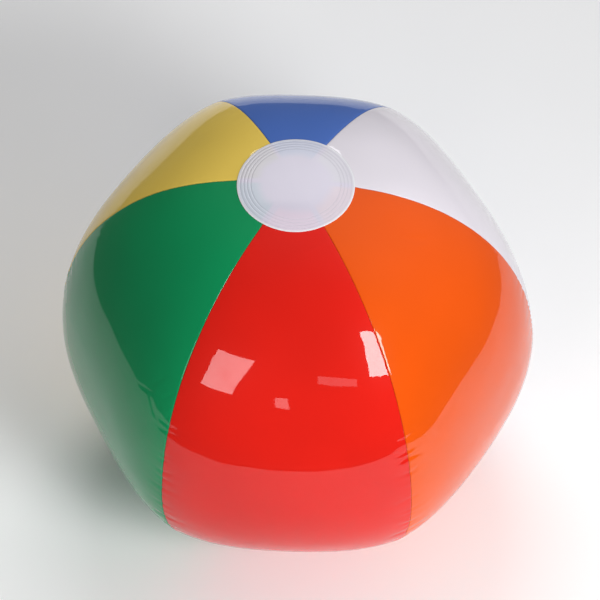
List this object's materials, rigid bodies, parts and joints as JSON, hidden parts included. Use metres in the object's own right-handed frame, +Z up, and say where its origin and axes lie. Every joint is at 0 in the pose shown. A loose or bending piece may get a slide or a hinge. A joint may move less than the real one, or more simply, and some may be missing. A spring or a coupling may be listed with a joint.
{
  "type": "inflatable beach ball",
  "caption": "Inflatable beach ball of coloured film panels welded edge to edge, with round end discs and a push-in air valve with plug and check flap.",
  "frame": {"origin": "centre of the underside of the bottom end disc, on the surface the ball rests on", "axes": "+Z up through both end discs, +Y out through the air valve in the middle of the blue panel, +X through the seam between the orange and the white panel"},
  "size_m": [0.33, 0.3132, 0.2955],
  "materials": {
    "red_film": "glossy vinyl film, red",
    "orange_film": "glossy vinyl film, orange",
    "white_film": "glossy vinyl film, white",
    "blue_film": "glossy vinyl film, blue",
    "yellow_film": "glossy vinyl film, yellow",
    "green_film": "glossy vinyl film, green",
    "milky_film": "glossy vinyl film, milky white and a little see-through",
    "soft_vinyl": "soft moulded vinyl, satin"
  },
  "bodies": {
    "ball": {"panel_red": "red_film", "panel_orange": "orange_film", "panel_white": "white_film", "panel_blue": "blue_film", "panel_yellow": "yellow_film", "panel_green": "green_film", "top_end_disc": "milky_film", "bottom_end_disc": "milky_film", "valve_flange": "soft_vinyl", "valve_skirt": "soft_vinyl"},
    "stem": {"valve_stem": "soft_vinyl", "plug_tether": "soft_vinyl"},
    "plug": {"valve_plug": "soft_vinyl"},
    "flap": {"check_flap": "soft_vinyl"}
  },
  "joints": [
    {"name": "stem_pop_out", "type": "slide", "parent": "ball", "child": "stem", "axis": [0, 1, 0], "range_m": [0, 0.012], "deforming": ["valve_skirt"]},
    {"name": "plug_pull", "type": "slide", "parent": "stem", "child": "plug", "axis": [0, 1, 0], "range_m": [0, 0.008], "deforming": ["plug_tether"]},
    {"name": "flap_swing", "type": "hinge", "parent": "stem", "child": "flap", "pos_m": [0, 0.14065, 0.15215], "axis": [-1, 0, 0], "range_deg": [0, 50]}
  ]
}
